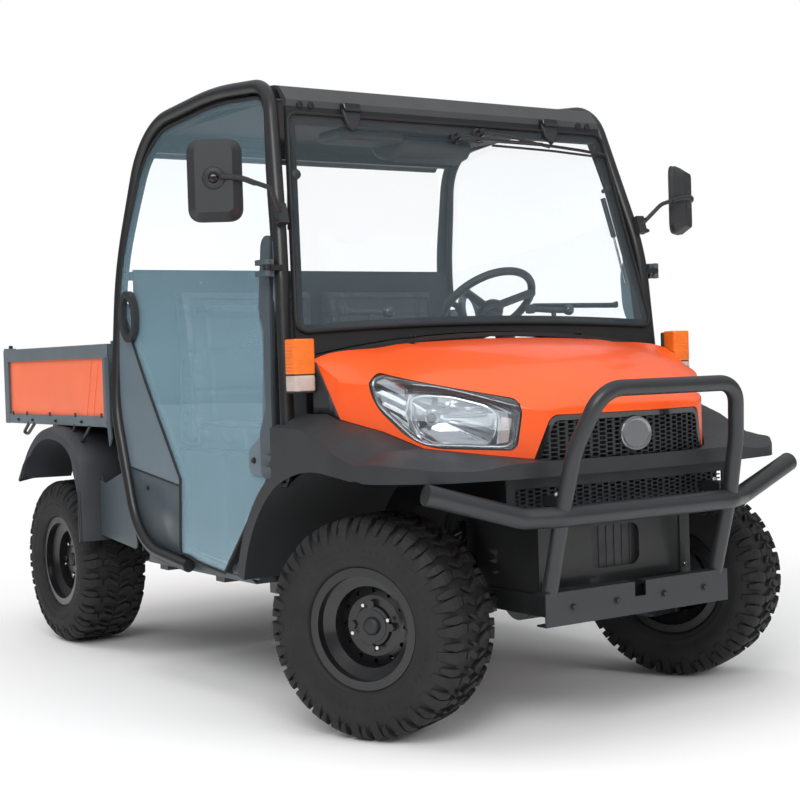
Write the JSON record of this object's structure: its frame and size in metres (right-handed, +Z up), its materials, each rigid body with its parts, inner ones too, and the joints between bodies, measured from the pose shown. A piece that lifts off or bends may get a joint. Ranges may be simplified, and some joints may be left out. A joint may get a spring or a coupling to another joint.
{
  "type": "cabbed utility side-by-side vehicle",
  "caption": "Cabbed utility side-by-side with rolling and steering wheels, glass doors, opening hood, front guard and tipping cargo bed",
  "frame": {"origin": "on the ground, midway along the overall length and on the middle plane", "axes": "+X forward, +Y to the vehicle's left, +Z up"},
  "size_m": [3.1285, 1.9662, 1.9408],
  "materials": {
    "black_steel": "gloss",
    "guard_steel": "satin",
    "engine_metal": "matte",
    "bright_steel": "polished",
    "roof_panel": "satin",
    "cabin_plastic": "grained",
    "grey_panel": "satin",
    "tinted_glass": "tinted",
    "seal_rubber": "matte",
    "black_plastic": "grained",
    "seat_vinyl": "grained vinyl",
    "lamp_amber": "clear amber lens",
    "lamp_clear": "clear lens",
    "orange_paint": "gloss",
    "bed_steel": "satin",
    "rim_paint": "gloss",
    "tyre": "matte"
  },
  "bodies": {
    "chassis": {"arch_liners": "black_plastic", "brush_guard": "guard_steel", "cab_frame": "black_steel", "cowl": "black_plastic", "dashboard": "cabin_plastic", "driver_backrest": "seat_vinyl", "driver_cushion": "seat_vinyl", "engine": "engine_metal", "floor_pan": "cabin_plastic", "frame": "black_steel", "front_fascia": "black_plastic", "front_suspension": "black_steel", "grille_lower": "black_plastic", "headliner": "cabin_plastic", "mirrors": "black_plastic", "muffler": "engine_metal", "passenger_backrest": "seat_vinyl", "passenger_cushion": "seat_vinyl", "quarter_panels": "grey_panel", "rear_axle": "black_steel", "rear_fenders": "black_plastic", "rear_glass": "tinted_glass", "rear_wall": "cabin_plastic", "rockers": "grey_panel", "roof": "roof_panel", "seat_box": "black_plastic", "side_panels": "grey_panel", "steering_column": "black_steel", "turn_signals": "lamp_amber", "windshield": "tinted_glass", "windshield_frame": "seal_rubber"},
    "hood": {"hood": "orange_paint", "headlamps": "lamp_clear", "grille_upper": "black_plastic"},
    "door_right": {"door_right_frame": "seal_rubber", "door_right_glass": "tinted_glass", "door_right_handle": "black_plastic", "door_right_hinge": "grey_panel"},
    "door_left": {"door_left_frame": "seal_rubber", "door_left_glass": "tinted_glass", "door_left_handle": "black_plastic", "door_left_hinge": "grey_panel"},
    "steering_wheel": {"steering_wheel": "black_plastic"},
    "knuckle_right": {"knuckle_right": "black_steel"},
    "knuckle_left": {"knuckle_left": "black_steel"},
    "wheel_front_right": {"rim_front_right": "rim_paint", "tyre_front_right": "tyre"},
    "wheel_front_left": {"rim_front_left": "rim_paint", "tyre_front_left": "tyre"},
    "wheel_rear_right": {"rim_rear_right": "rim_paint", "tyre_rear_right": "tyre"},
    "wheel_rear_left": {"rim_rear_left": "rim_paint", "tyre_rear_left": "tyre"},
    "bed": {"bed": "bed_steel", "bed_side_panels": "orange_paint"},
    "tailgate": {"tailgate": "orange_paint"},
    "lift_barrel": {"lift_barrel": "engine_metal"},
    "lift_rod": {"lift_rod": "bright_steel"}
  },
  "joints": [
    {"name": "steer_right", "type": "hinge", "parent": "chassis", "child": "knuckle_right", "pos_m": [0.9638, -0.547, 0.312], "axis": [0, 0, 1], "range_deg": [-56.7, 7.3]},
    {"name": "steer_left", "type": "hinge", "parent": "chassis", "child": "knuckle_left", "pos_m": [0.9638, 0.547, 0.312], "axis": [0, 0, 1], "range_deg": [-56.7, 7.3]},
    {"name": "steering_turn", "type": "hinge", "parent": "chassis", "child": "steering_wheel", "pos_m": [0.3088, 0.326, 1.232], "axis": [-0.6428, 0, 0.766], "range_deg": [-908, 117]},
    {"name": "spin_front_right", "type": "hinge", "parent": "knuckle_right", "child": "wheel_front_right", "pos_m": [0.99305, -0.6106, 0.312], "axis": [-0.4179, 0.9085, 0], "continuous": true},
    {"name": "spin_front_left", "type": "hinge", "parent": "knuckle_left", "child": "wheel_front_left", "pos_m": [0.93455, 0.6106, 0.312], "axis": [-0.4179, 0.9085, 0], "continuous": true},
    {"name": "spin_rear_right", "type": "hinge", "parent": "chassis", "child": "wheel_rear_right", "pos_m": [-1.0812, -0.617, 0.312], "axis": [0, 1, 0], "continuous": true},
    {"name": "spin_rear_left", "type": "hinge", "parent": "chassis", "child": "wheel_rear_left", "pos_m": [-1.0812, 0.617, 0.312], "axis": [0, 1, 0], "continuous": true},
    {"name": "door_right_open", "type": "hinge", "parent": "chassis", "child": "door_right", "pos_m": [0.6888, -0.77, 1], "axis": [0, 0, 1], "range_deg": [0, 75]},
    {"name": "door_left_open", "type": "hinge", "parent": "chassis", "child": "door_left", "pos_m": [0.6888, 0.77, 1], "axis": [0, 0, -1], "range_deg": [0, 75]},
    {"name": "hood_open", "type": "hinge", "parent": "chassis", "child": "hood", "pos_m": [0.8138, 0, 1.072], "axis": [0, -1, 0], "range_deg": [0, 55]},
    {"name": "bed_tip", "type": "hinge", "parent": "chassis", "child": "bed", "pos_m": [-1.4362, 0, 0.782], "axis": [0, -1, 0], "range_deg": [0, 45]},
    {"name": "tailgate_drop", "type": "hinge", "parent": "bed", "child": "tailgate", "pos_m": [-1.5562, 0, 0.862], "axis": [0, -1, 0], "range_deg": [0, 90]},
    {"name": "lift_swing", "type": "hinge", "parent": "chassis", "child": "lift_barrel", "pos_m": [-0.5962, 0.195, 0.432], "axis": [0, -1, 0], "range_deg": [-6.3, 0.2]},
    {"name": "lift_extend", "type": "slide", "parent": "lift_barrel", "child": "lift_rod", "axis": [-0.8669, 0, 0.4985], "range_m": [0, 0.1275]}
  ],
  "couplings": [
    {"joint": "steer_left", "follows": "steer_right", "ratio": 1},
    {"joint": "steering_turn", "follows": "steer_right", "ratio": 16},
    {"joint": "lift_swing", "follows": "bed_tip", "ratio": -0.1359},
    {"joint": "lift_extend", "follows": "bed_tip", "m_per_rad": 0.16045}
  ]
}
